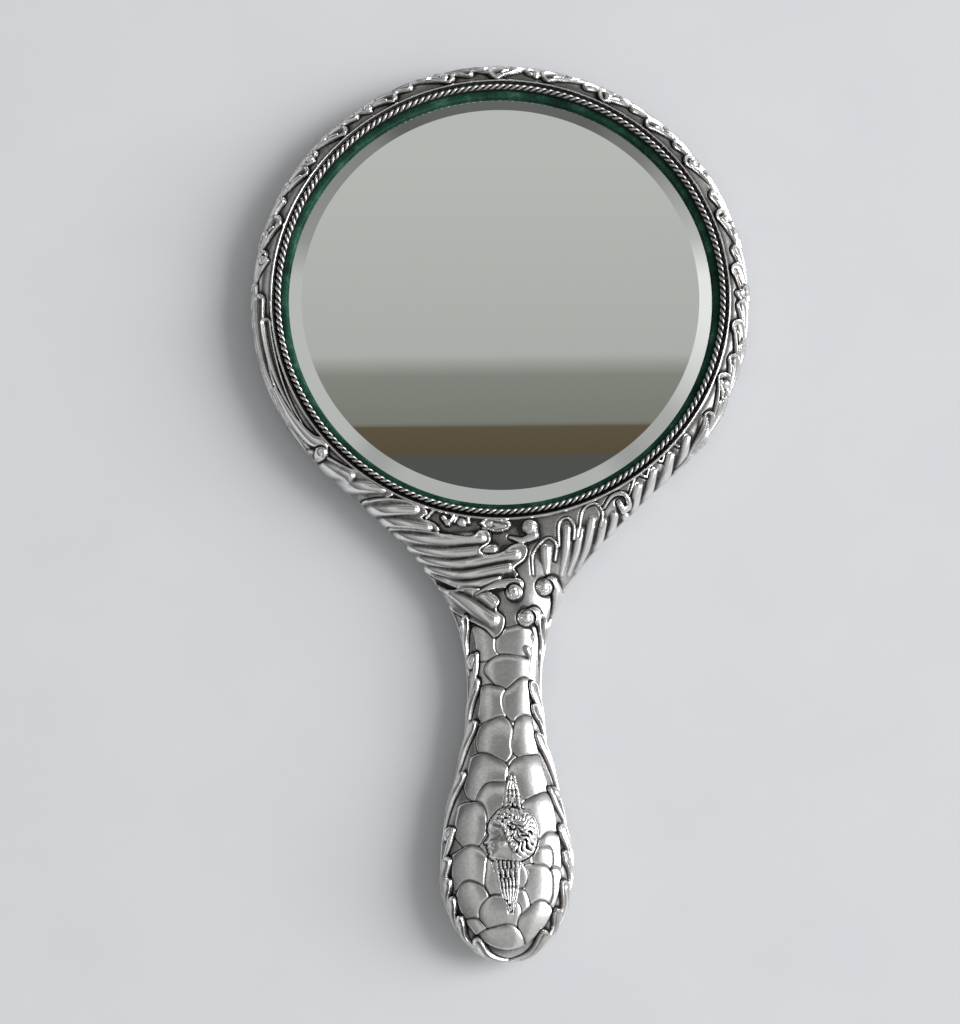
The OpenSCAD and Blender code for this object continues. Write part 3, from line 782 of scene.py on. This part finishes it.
def cherubWings(chart):
    # Long feathers that meet at the tip, and rows of short ones over their roots. The half width at
    # share t of the length is half * (1 - 0.96 t^2.8).
    wings = Relief(chart, np.zeros(chart[0].shape))
    for root, tip, half, count in cherub["wings"]:
        root, tip = np.array(root), np.array(tip)
        aim = unit(tip - root)
        across = np.array([-aim[1], aim[0]])
        size = np.linalg.norm(tip - root)

        def onWing(t, lane):  # lane is a share of the local half width
            return root + aim * size * t + across * half * (1 - 0.96 * max(t, 0)**2.8) * lane
        sides = [onWing(t, -1) for t in (0, 0.3, 0.6, 0.85, 1)] + [onWing(t, 1) for t in (0.85, 0.6, 0.3, 0)]
        wings.plate(sides, 0.7, 0.0, 0.35)
        for lane in np.linspace(-0.85, 0.85, count):
            feather = [onWing(t, lane) for t in (0.25, 0.5, 0.75, 0.97 - 0.25 * abs(lane - 0.3))]
            wings.petal(feather, half * 0.85 / count, half * 0.6 / count, 1.25, 0.1, 1.0, 0.4, 0.1)
        for row, start in enumerate(cherub["featherRows"]):
            for lane in np.linspace(-0.8, 0.8, count - row % 2):
                feather = [onWing(start, lane), onWing(start + 0.25, lane)]
                lift = 1.4 + 0.1 * row
                wings.petal(feather, half * 0.9 / count, half * 0.65 / count, lift, 0.1, 1.0, 0.3, 0.1)
    return wings.h


def cherubHair(chart):
    # Wavy locks from the crown outward, then curls along the hairline, each a knob with a spiral cut
    look = cherub
    locks = Relief(chart, np.zeros(chart[0].shape))
    picks = np.random.default_rng(look["seed"])
    crownAt = np.array(look["crown"])
    locks.boss(crownAt, 1.1, 0.6, 0.1)
    for k in range(look["locks"]):
        a = 2 * math.pi * (k + picks.uniform(-0.2, 0.2)) / look["locks"]
        r = np.linspace(1.1, 9.0, 60)
        wave = a + 0.65 * np.sin(1.6 * r + picks.uniform(-0.5, 0.5)) / (r + 0.8)
        strand = crownAt + r[:, None] * onRound(wave)
        stop = (inside(strand, look["hairline"]) < 0.7) | (inside(strand, look["outline"]) < 0.9)
        strand = strand[:stop.argmax()]
        if len(strand) >= 8:
            locks.ridge(strand, 0.18, 0.66, 0.85, 0.22)
    front = curveThrough(look["hairline"][:look["brow"]], 45)
    away = unit(front[2:] - front[:-2])[:, ::-1] * (-1, 1)
    t = np.linspace(0, 1, 16)
    for depth, last in look["curlRows"]:  # the row nearest the face on top
        for k in range(6, last, 4):
            ball = front[k + 1] + depth * away[k] + picks.uniform(-0.15, 0.15, 2)
            spiral = ball + (0.75 - 0.5 * t)[:, None] * onRound(picks.uniform(0, 6.28) + 5.0 * t)
            locks.boss(ball, 0.95, 0.85, 0.25)
            locks.cut(spiral, 0.35, 0.13)
    return locks.h


def cherubFeatures(chart):  # sum of height * exp(-((x - cx) / rx)^2 - ((y - cy) / ry)^2), and the lids
    lids = Relief(chart, np.zeros(chart[0].shape))
    for points, start, end, lift in cherubLids:
        lids.ridge(curveThrough(points), start, end, lift, 0)
    x, y = chart
    h = lids.h
    for cx, cy, rx, ry, lift in cherubFace.values():
        h = h + lift * np.exp(-(((x - cx) / rx)**2 + ((y - cy) / ry)**2))
    return h


def makeCherub():
    # A grid over head and wings: the grip's height + the head's cushion, 0.5 + dome (1 - exp(-d / 1.5))
    # at d inside its outline, + face or hair, or + the wings outside it
    look = cherub
    (x0, y0), (x1, y1) = look["low"], look["high"]
    columns, rows = int((x1 - x0) / look["cell"]), int((y1 - y0) / look["cell"])
    x, y = np.meshgrid(np.linspace(x0, x1, columns), np.linspace(y0, y1, rows), indexing="xy")
    flat = (x.ravel(), y.ravel())
    wings = cherubWings(flat)
    chart = (flat[0] - look["middle"][0], flat[1] - look["middle"][1])
    inner = inside(np.stack(chart, -1), look["outline"])
    hair = inside(np.stack(chart, -1), look["hairline"])
    cushion = 0.5 + look["dome"] * (1 - np.exp(-np.clip(inner, 0, None) / 1.5))
    covered = smooth(hair / 0.5 + 0.5)
    head = cushion + 1.1 * cherubFeatures(chart) * (1 - covered) + (0.35 + cherubHair(chart)) * covered
    onHead = inner > -0.05
    shown = onHead | (wings > 0.2)
    h = np.where(shown, np.where(onHead, head, wings), -0.9).reshape(x.shape)
    z = skinHeight(*flat).reshape(x.shape) - 0.45 + h
    p = np.stack([x, y, z], -1)
    n = -gridNormals(p)
    n *= np.sign(n[..., 2:3])
    fine = 0.35 + 0.45 * ((inner < 0.2) | (hair > 0)).reshape(x.shape)  # the face is smoother
    wear = np.clip(0.62 + fine * (h - blurred(h, 3)) + 0.25 * (h - blurred(h, 9)), 0, 1)
    faces = gridFaces(rows, columns)
    used, faces = np.unique(faces[shown[faces].any(1)], return_inverse=True)
    faces = faces.reshape(-1, 4)
    piece = buildMesh("cherub", p.reshape(-1, 3)[used], faces, n.reshape(-1, 3)[used],
                      {"wear": wear.ravel()[used]}, silver)
    seat(piece, ["front_shell"])
    print("piece cherub", len(faces))


makeCherub()

# The back: the same leaves and scales, and a plain round reserve in the middle that it rests on.
backs = stamping("back", -1, "_head")
backRings = [(59, 32, 5.8), (51, 27, 6.4), (42, 22, 6.6), (33, 17, 6.6)]  # radius, number and size of scales


def carveBack(skin):
    plan = skin.relief((skin.p[..., 0], skin.p[..., 1]))
    if skin.s.min() < 1.6:
        for r, count, size in backRings:
            for k in range(count):
                a = 2 * math.pi * (k + 0.5 * (count % 2)) / count
                plan.cell((r * math.sin(a), r * math.cos(a)), size * 0.86, size * 0.8, 0.5)
    if skin.s.min() < 1.4:
        carveBorder(skin, seed=29)
    if skin.name != "back_head":
        carveOrnament(skin, -1, [key for key in neckFingers if key != "middle"], 0.45, 1.0)
    carveEdges(skin)


for skin in backs:
    carveBack(skin)
    skin.finish(silver, ["back_shell"], 0.9)

# Reserve: (radius inside its edge, height) of a flat foot, two grooves and the plain middle
reserveSteps = [(0, 0.02), (0.8, 0.02), (1.3, 0.25), (1.9, 0.05), (2.5, 0.3), (14, 0.3), (25.999, 0.3)]
reserve = [(form["restR"] - step, z) for step, z in reserveSteps]
lathe("back_reserve", reserve, 240, silver, ["back_shell"], False,
      [0.5, 0.6, 0.25, 0.6, 0.45, 0.6, 0.6], flip=False)

# Collar: bright rounded lip, dark channel floor, plain tube wall; insets from the rim's edge and top
collar = {"lipR": 0.25, "lipLift": 0.3, "lipDrop": 0.12, "steps": [(0.5, 0.35), (0.6, 0.5)],
          "wear": [0.3] + [0.7] * 9 + [0.35, 0.2, 0.05, 0.1]}


def makeCollar():
    look = collar
    rimR, rimZ, wallR = collarHigh[0], collarHigh[2], velvetHigh[0]
    turn = np.radians(np.linspace(0, 180, 9))
    lip = np.stack([rimR - look["lipR"] + look["lipR"] * np.cos(turn),
                    rimZ - look["lipDrop"] + look["lipLift"] * np.sin(turn)], -1)
    steps = [(rimR - inset, rimZ - drop) for inset, drop in look["steps"]]
    path = np.concatenate([[(rimR, collarLow[2])], lip, steps, [(wallR, ropeLow[2]), (wallR, collarLow[2])]])
    lathe("collar", path, 720, silver, ["bezel_collar"], wear=look["wear"])


makeCollar()

# Rope: two strands twisted round a circle, p = R + q cos(psi), z + q sin(psi), psi = -N phi.
rope = {"strands": 2, "twists": 101, "radius": 0.44, "offset": 0.42, "drop": 0.75, "perTwist": 14, "sides": 9}


def makeRope():
    look = rope
    stations, sides = look["twists"] * look["perTwist"], look["sides"]
    middleR, middleZ = 0.5 * (ropeHigh[0] + velvetHigh[0]), ropeHigh[2] - look["drop"]
    phi = np.linspace(0, 2 * math.pi, stations, endpoint=False)
    radial = onRound(phi)[:, ::-1]
    points, faces, wears = [], [], []
    for strand in range(look["strands"]):
        psi = -look["twists"] * phi + 2 * math.pi * strand / look["strands"]
        r = middleR + look["offset"] * np.cos(psi)
        centre = np.concatenate([radial * r[:, None], (middleZ + look["offset"] * np.sin(psi))[:, None]], 1)
        tangent = unit(np.roll(centre, -1, 0) - np.roll(centre, 1, 0))
        outward = np.concatenate([radial, np.zeros((stations, 1))], 1)
        sideways = unit(np.cross(tangent, outward))
        outward = np.cross(sideways, tangent)
        a = onRound(np.linspace(0, 2 * math.pi, sides, endpoint=False))
        ring = centre[:, None] + look["radius"] * (a[:, :1] * outward[:, None] + a[:, 1:] * sideways[:, None])
        faces.append(gridFaces(stations, sides, True, True) + strand * stations * sides)
        points.append(ring.reshape(-1, 3))
        axis = np.concatenate([radial * middleR, np.full((stations, 1), middleZ)], 1)
        away = np.linalg.norm(ring - axis[:, None], axis=2)
        wears.append(0.08 + 0.52 * smooth((away - 0.45) / 0.4).ravel())
    piece = buildMesh("rope", np.concatenate(points), np.concatenate(faces), None,
                      {"wear": np.concatenate(wears)}, silver)
    seat(piece, ["rope_bezel"])


makeRope()
print("pieces: collar, rope")


def velvetPile():
    # Rayon velvet, crushed and balding: a dark body with pale patches where the pile lies over, partly pale
    # worn fibres and partly painted sheen.
    material, tree, shader = newMaterial("green velvet, worn, with painted sheen")
    fibres = mottle(tree, 0.3, 3.0, 0.7)
    both = addNode(tree, "ShaderNodeMath", {0: fibres, 1: 0.4}, operation="MULTIPLY").outputs[0]
    values = {0: mottle(tree, 5.0), 1: 0.6, 2: both}
    both = addNode(tree, "ShaderNodeMath", values, operation="MULTIPLY_ADD").outputs[0]
    # the pale stop is partly pale worn fluff and partly painted sheen of the lying pile
    stops = [(0.38, "#133328"), (0.54, "#23503f"), (0.7, "#588874")]
    colour = addNode(tree, "ShaderNodeValToRGB", {"Fac": both}, stops).outputs["Color"]
    tree.links.new(colour, shader.inputs["Base Color"])
    shader.inputs["Roughness"].default_value = 0.95
    shader.inputs["Specular IOR Level"].default_value = 0.2
    shader.inputs["Sheen Weight"].default_value = 0.12
    shader.inputs["Sheen Roughness"].default_value = 0.4
    shader.inputs["Sheen Tint"].default_value = srgb("#9fc7b2")
    roughen(tree, shader, fibres, 0.12)
    return material


velvet = {"tufts": 15000, "tall": 0.34, "wide": 0.16, "seed": 5, "cushion": 0.5}


def makeVelvet():
    # A cushioned ring, top + cushion ((1 - t^2)^0.3 - 1) at share t from its middle to its edges, and
    # a tuft of pile, one thin blade, at each of many scattered points.
    look = velvet
    material = velvetPile()
    inner, outer = glassHigh[0], velvetHigh[0]
    middle, half = 0.5 * (inner + outer), 0.5 * (outer - inner)
    base, foot = velvetLow[2], velvetHigh[2] - look["tall"] * 0.6 - look["cushion"]
    t = np.linspace(0, math.pi, 11)
    back = np.stack([middle + half * np.cos(t), foot + look["cushion"] * np.sin(t)**0.6], -1)
    profile = np.concatenate([[[outer, base]], back, [[inner, base]]])
    lathe("velvet_ring", profile, 540, material, ["velvet_liner"])
    picks = np.random.default_rng(look["seed"])
    n = look["tufts"]
    r = picks.uniform(inner + 0.1, outer - 0.1, n)
    a = picks.uniform(0, 2 * math.pi, n)
    z = foot + look["cushion"] * (1 - ((r - middle) / half)**2)**0.3
    root = np.stack([r * np.sin(a), r * np.cos(a), z - 0.05], -1)
    turn = picks.uniform(0, 2 * math.pi, n)
    lean = picks.normal(0, 0.12, (n, 2))
    tall = look["tall"] * picks.uniform(0.5, 1.0, n)
    wide = np.stack([np.cos(turn), np.sin(turn), np.zeros(n)], -1) * look["wide"] * 0.5
    tip = root + np.concatenate([lean, tall[:, None]], 1)
    points = np.stack([root - wide, root + wide, tip], 1).reshape(-1, 3)
    pile = buildMesh("velvet_pile", points, np.arange(3 * n).reshape(n, 3), material=material)
    seat(pile, ["velvet_liner"])


makeVelvet()


def mirrorSurface():
    # Silvered plate glass seen from above: almost black-free reflection, faintly green, with dust
    # in the gloss and small dark foxing spots where the silver has failed near the edge.
    material, tree, shader = newMaterial("plate glass, silvered behind")
    look = glass
    place = addNode(tree, "ShaderNodeTexCoord").outputs["Object"]
    away = addNode(tree, "ShaderNodeVectorMath", {0: place}, operation="LENGTH").outputs["Value"]
    spread = {"Value": away, "From Min": look["spotsFrom"] * mm, "From Max": glassHigh[0] * mm}
    edge = addNode(tree, "ShaderNodeMapRange", spread).outputs[0]
    values = {0: edge, 1: look["spotsAtEdge"], 2: mottle(tree, 1.1, 4.0, 0.7)}
    spots = addNode(tree, "ShaderNodeMath", values, operation="MULTIPLY_ADD").outputs[0]
    bands = {"Base Color": (spots, look["spots"]), "Roughness": (mottle(tree, 14.0, 5.0, 0.6), look["dust"])}
    for name, (value, stops) in bands.items():
        band = addNode(tree, "ShaderNodeValToRGB", {"Fac": value}, stops)
        tree.links.new(band.outputs["Color"], shader.inputs[name])
    shader.inputs["Metallic"].default_value = 1.0
    return material


glass = {
    "bevel": [(4.3, 0), (2.2, 0.49), (0, 1.0)],  # insets from the edge and drops from the face
    "spotsFrom": 52.0, "spotsAtEdge": 0.17, "spots": [(0.86, "#edf0ed"), (0.9314, "#3f3a31")],
    "dust": [(0.35, 0.0), (0.75, 0.012)],
}


def makeGlass():
    edgeR, topZ, low = glassHigh[0], glassHigh[2], glassLow[2]
    material = mirrorSurface()
    bevel = [(edgeR - inset, topZ - drop) for inset, drop in glass["bevel"]]
    paths = {"flat": [(0.001, topZ), (bevel[0][0] * 0.5, topZ), bevel[0]], "bevel": bevel,
             "edge": [bevel[-1], (edgeR, low), (0.001, low)]}
    for label, path in paths.items():
        lathe("glass_" + label, path[::-1], 360, material, ["mirror_glass"], closed=False)


makeGlass()
print("pieces: velvet, glass")

hidden = {  # finishes of the pieces inside, which only show if the mirror is taken apart
    "mirror_silvering": plainSurface("chemical silver film", "#d5d8d6", "#b9bdbb", 6.0, 0.12, metallic=1.0),
    "back_paint": plainSurface("red oxide backing paint, brushed", "#7c3b2c", "#672f23", 3.0, 0.6,
                               (1, 0.1, 1)),
    "grey_card": plainSurface("grey millboard, pressed", "#8b8880", "#77746c", 0.8, 0.9),
    "wool_felt": plainSurface("wool felt, matted", "#5d5a55", "#47443f", 0.6, 1.0, depth=0.2),
    "beech_core": plainSurface("beech, turned and sanded", "#c99f6d", "#a97e4f", 1.5, 0.6, (1, 0.06, 1)),
    "black_pitch": plainSurface("chaser's pitch, poured", "#25211d", "#171411", 7.0, 0.35, depth=0.3),
    "tang_steel": plainSurface("mild steel, rolled", "#8d8b88", "#6c6966", 0.7, 0.4, (1, 0.1, 1),
                               metallic=1.0),
    "screw_brass": plainSurface("brass, turned", "#c5a25c", "#a3823f", 0.5, 0.3, metallic=1.0),
}
nodeFinish = {"silvering": "mirror_silvering", "backing_paint": "back_paint", "backing_card": "grey_card",
              "felt_pad": "wool_felt", "head_core": "beech_core", "handle_fill_front": "black_pitch",
              "handle_fill_back": "black_pitch", "tang": "tang_steel", "tang_screws": "screw_brass"}
for node, finish in nodeFinish.items():
    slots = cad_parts[node].data.materials
    slots.clear()
    slots.append(hidden[finish])

# World: a room seen overhead. Angles are degrees off the vertical: tilt toward +Y, lean toward +X.
# Straight above there is a dark band and a grey ceiling; the walls at the sides are paler.
room = {
    "tilt": [(-90, 0.4), (-30, 0.45), (-9, 0.5), (-5, 0.3), (11, 0.26), (13.4, 0.09), (16.2, 0.3), (17, 0.44),
             (25, 0.43), (30, 0.2), (45, 0.13), (65, 0.22), (90, 0.3)],
    "overhead": [(11, "#8a8a8a"), (12.8, "#52565a"), (14.4, "#555652"), (14.5, "#5e5340"), (15.05, "#635848"),
                 (15.12, "#81837b"), (16.15, "#8b8d86"), (16.3, "#9b9c96"), (16.6, "#b8b8b6"),
                 (21, "#c4c4c2"), (25, "#bebebd")],
    "sides": [(-90, 0.14), (-60, 0.24), (-45, 0.36), (-38, 0.34), (-30, 0.56), (-18, 0.52), (18, 0.4),
              (25, 0.46), (31, 0.9), (40, 1.0), (56, 1.0), (90, 1.0)],
    "falloff": [(-90, 0.45), (-6, 1.0), (24, 1.0), (30, 0.6), (45, 0.45), (65, 0.5), (90, 0.5)],
    "sideStart": 16.0, "sideFull": 22.0,
    "horizon": "#c9cbcd", "horizonLow": 0.05, "horizonTop": 0.22,  # limits as sines of the elevation
}


def makeWorld():
    world = bpy.data.worlds.new("studio")
    bpy.context.scene.world = world
    world.use_nodes = True
    tree = world.node_tree
    tree.nodes.clear()
    way = addNode(tree, "ShaderNodeTexCoord").outputs["Generated"]
    axes = addNode(tree, "ShaderNodeSeparateXYZ", {0: way}).outputs

    def offVertical(axis):  # atan2(axis, z) in degrees
        angle = addNode(tree, "ShaderNodeMath", {0: axes[axis], 1: axes["Z"]}, operation="ARCTAN2").outputs[0]
        return addNode(tree, "ShaderNodeMath", {0: angle}, operation="DEGREES").outputs[0]

    def level(angle, key):
        stops = room[key]
        low, high = stops[0][0], stops[-1][0]
        spread = {"Value": angle, "From Min": low, "From Max": high}
        share = addNode(tree, "ShaderNodeMapRange", spread).outputs[0]
        stops = [((degrees - low) / (high - low), value) for degrees, value in stops]
        return addNode(tree, "ShaderNodeValToRGB", {"Fac": share}, stops).outputs["Color"]

    tilt, lean = offVertical("Y"), offVertical("X")
    low, high = room["overhead"][0][0], room["overhead"][-1][0]
    values = {0: tilt, 1: 0.5 * (low + high), 2: 0.5 * (high - low)}
    within = addNode(tree, "ShaderNodeMath", values, operation="COMPARE").outputs[0]
    walls = {0: level(lean, "sides"), 1: level(tilt, "falloff")}
    walls = addNode(tree, "ShaderNodeVectorMath", walls, operation="MULTIPLY").outputs[0]
    lean = addNode(tree, "ShaderNodeMath", {0: lean}, operation="ABSOLUTE").outputs[0]
    spread = {"Value": lean, "From Min": room["sideStart"], "From Max": room["sideFull"]}
    side = addNode(tree, "ShaderNodeMapRange", spread, interpolation_type="SMOOTHSTEP").outputs[0]
    spread = {"Value": axes["Z"], "From Min": room["horizonLow"], "From Max": room["horizonTop"]}
    clear = addNode(tree, "ShaderNodeMapRange", spread, interpolation_type="SMOOTHSTEP").outputs[0]
    colour = level(tilt, "tilt")
    for factor, other in ((within, level(tilt, "overhead")), (side, walls)):
        values = {"Factor": factor, 6: colour, 7: other}
        colour = addNode(tree, "ShaderNodeMix", values, data_type="RGBA").outputs[2]
    values = {"Factor": clear, 6: srgb(room["horizon"]), 7: colour}
    colour = addNode(tree, "ShaderNodeMix", values, data_type="RGBA").outputs[2]
    light = addNode(tree, "ShaderNodeBackground", {"Color": colour, "Strength": 1.0})
    addNode(tree, "ShaderNodeOutputWorld", {"Surface": light.outputs[0]})


makeWorld()


# Place, target and sizes in metres, power in watts
window = {"place": (3.3, 0.1, 2.1), "target": (0, -0.06, 0), "size": (2.2, 3.0), "power": 132,
          "colour": "#fcfcff"}


def makeWindow():
    data = bpy.data.lights.new("window", "AREA")
    data.shape = "RECTANGLE"
    data.size, data.size_y = window["size"]
    data.energy = window["power"]
    data.color = srgb(window["colour"])[:3]
    light = bpy.data.objects.new("window", data)
    light.location = window["place"]
    aim = Vector(window["target"]) - Vector(window["place"])
    light.rotation_euler = aim.to_track_quat("-Z", "Y").to_euler()
    bpy.context.scene.collection.objects.link(light)


makeWindow()

floorSize = 2400  # half the side, in millimetres


def makeFloor():
    p = np.array([(x, y, 0) for y in (-1, 1) for x in (-1, 1)], float) * floorSize
    floor = buildMesh("floor", p + [0, 0, -0.02], np.array([[0, 1, 3, 2]]))
    material, tree, shader = newMaterial("matt white board")
    stops = [(0.3, "#e4e6e8"), (0.7, "#e7e9ea")]
    band = addNode(tree, "ShaderNodeValToRGB", {"Fac": mottle(tree, 40.0)}, stops)
    tree.links.new(band.outputs["Color"], shader.inputs["Base Color"])
    shader.inputs["Roughness"].default_value = 0.9
    floor.data.materials.append(material)


makeFloor()

# Camera: above the head, looking down and a little up the object, with a slight roll.
shot = {"place": (-6.9, -239, 755), "aim": (-6.5, -63.3, 7), "roll": -0.37, "lens": 93.6}


def makeCamera():
    data = bpy.data.cameras.new("camera")
    data.lens = shot["lens"]
    data.sensor_width = 36
    data.clip_start = 0.05
    camera = bpy.data.objects.new("camera", data)
    aim = Vector(shot["aim"]) - Vector(shot["place"])
    turn = aim.to_track_quat("-Z", "Y").to_matrix().to_4x4()
    roll = turn.Rotation(math.radians(shot["roll"]), 4, "Z")
    camera.matrix_world = turn.Translation(Vector(shot["place"]) * mm) @ turn @ roll
    bpy.context.scene.collection.objects.link(camera)
    bpy.context.scene.camera = camera


makeCamera()
bpy.context.scene.view_settings.view_transform = "Standard"
